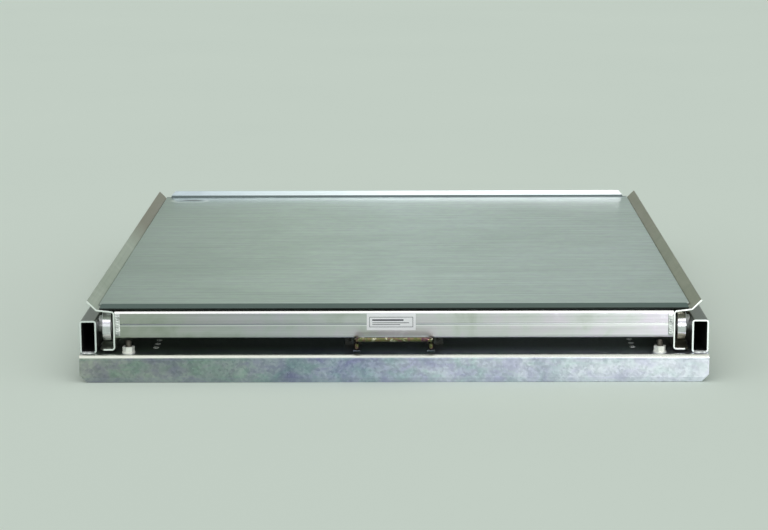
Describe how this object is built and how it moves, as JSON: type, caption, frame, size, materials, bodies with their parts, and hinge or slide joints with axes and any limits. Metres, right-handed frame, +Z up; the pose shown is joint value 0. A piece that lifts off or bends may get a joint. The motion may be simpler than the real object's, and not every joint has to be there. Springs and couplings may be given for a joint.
{
  "type": "pallet pull-out unit",
  "caption": "Low steel tray with raised side lips that rolls out on bearing rollers from a base frame seated on two rack beams; bar latch handle.",
  "frame": {"origin": "centre of the whole object's box, at the level of the lower edges of the hanging flanges", "axes": "+Z up, +Y from the front, where the handle is, to the rear, +X to the right seen from the front"},
  "size_m": [1.13, 1.248, 0.148],
  "materials": {
    "galvanised": "mottled galvanised",
    "tube_steel": "zinc plated, faint rolling lines",
    "rail_steel": "zinc plated sheet",
    "tray_steel": "satin galvanised sheet",
    "weld": "plated weld bead",
    "turned_steel": "turned",
    "bearing_steel": "ground and polished",
    "plated_fastener": "bright zinc plated",
    "buffer_rubber": "matt",
    "label": "plain white",
    "yellow_chromate": "yellow chromated steel with a faint iridescence"
  },
  "bodies": {
    "base_frame": {"front_seat_profile": "galvanised", "rear_seat_profile": "galvanised", "left_frame_tube": "tube_steel", "right_frame_tube": "tube_steel", "frame_tube_welds": "weld", "roller_axles": "turned_steel", "roller_inner_rings": "bearing_steel", "roller_balls": "bearing_steel", "stop_studs": "plated_fastener", "stop_stud_nuts": "plated_fastener", "stop_stud_washers": "plated_fastener", "closed_stop_brackets": "galvanised", "closed_stop_buffers": "buffer_rubber", "closed_stop_screws": "plated_fastener"},
    "tray": {"tray_plate": "tray_steel", "left_rail": "rail_steel", "right_rail": "rail_steel", "front_cross_tube": "tube_steel", "second_cross_tube": "tube_steel", "third_cross_tube": "tube_steel", "rear_cross_tube": "tube_steel", "front_tube_welds": "weld", "cross_tube_welds": "weld", "plate_stitch_welds": "weld", "label_plate": "label", "stop_lugs": "galvanised", "handle_lugs": "galvanised", "handle_pivot_bolts": "plated_fastener", "handle_pivot_nuts": "plated_fastener", "handle_friction_washers": "buffer_rubber"},
    "latch_handle": {"handle_bar": "yellow_chromate", "latch_prongs": "yellow_chromate"},
    "roller_left_1": {"roller_left_1": "bearing_steel"},
    "roller_left_2": {"roller_left_2": "bearing_steel"},
    "roller_left_3": {"roller_left_3": "bearing_steel"},
    "roller_left_4": {"roller_left_4": "bearing_steel"},
    "roller_right_1": {"roller_right_1": "bearing_steel"},
    "roller_right_2": {"roller_right_2": "bearing_steel"},
    "roller_right_3": {"roller_right_3": "bearing_steel"},
    "roller_right_4": {"roller_right_4": "bearing_steel"}
  },
  "joints": [
    {"name": "tray_slide", "type": "slide", "parent": "base_frame", "child": "tray", "axis": [0, -1, 0], "range_m": [0, 0.8]},
    {"name": "handle_swing", "type": "hinge", "parent": "tray", "child": "latch_handle", "pos_m": [0, -0.548, 0.067], "axis": [1, 0, 0], "range_deg": [0, 10]},
    {"name": "roller_left_1_spin", "type": "hinge", "parent": "base_frame", "child": "roller_left_1", "pos_m": [-0.5185, -0.55, 0.093], "axis": [1, 0, 0], "continuous": true},
    {"name": "roller_left_2_spin", "type": "hinge", "parent": "base_frame", "child": "roller_left_2", "pos_m": [-0.5185, -0.38, 0.093], "axis": [1, 0, 0], "continuous": true},
    {"name": "roller_left_3_spin", "type": "hinge", "parent": "base_frame", "child": "roller_left_3", "pos_m": [-0.5185, -0.2, 0.093], "axis": [1, 0, 0], "continuous": true},
    {"name": "roller_left_4_spin", "type": "hinge", "parent": "base_frame", "child": "roller_left_4", "pos_m": [-0.5185, 0.284, 0.093], "axis": [1, 0, 0], "continuous": true},
    {"name": "roller_right_1_spin", "type": "hinge", "parent": "base_frame", "child": "roller_right_1", "pos_m": [0.5185, -0.55, 0.093], "axis": [1, 0, 0], "continuous": true},
    {"name": "roller_right_2_spin", "type": "hinge", "parent": "base_frame", "child": "roller_right_2", "pos_m": [0.5185, -0.38, 0.093], "axis": [1, 0, 0], "continuous": true},
    {"name": "roller_right_3_spin", "type": "hinge", "parent": "base_frame", "child": "roller_right_3", "pos_m": [0.5185, -0.2, 0.093], "axis": [1, 0, 0], "continuous": true},
    {"name": "roller_right_4_spin", "type": "hinge", "parent": "base_frame", "child": "roller_right_4", "pos_m": [0.5185, 0.284, 0.093], "axis": [1, 0, 0], "continuous": true}
  ],
  "couplings": [
    {"joint": "roller_left_1_spin", "follows": "tray_slide", "rad_per_m": 32.258},
    {"joint": "roller_left_2_spin", "follows": "tray_slide", "rad_per_m": 32.258},
    {"joint": "roller_left_3_spin", "follows": "tray_slide", "rad_per_m": 32.258},
    {"joint": "roller_left_4_spin", "follows": "tray_slide", "rad_per_m": 32.258},
    {"joint": "roller_right_1_spin", "follows": "tray_slide", "rad_per_m": 32.258},
    {"joint": "roller_right_2_spin", "follows": "tray_slide", "rad_per_m": 32.258},
    {"joint": "roller_right_3_spin", "follows": "tray_slide", "rad_per_m": 32.258},
    {"joint": "roller_right_4_spin", "follows": "tray_slide", "rad_per_m": 32.258}
  ]
}
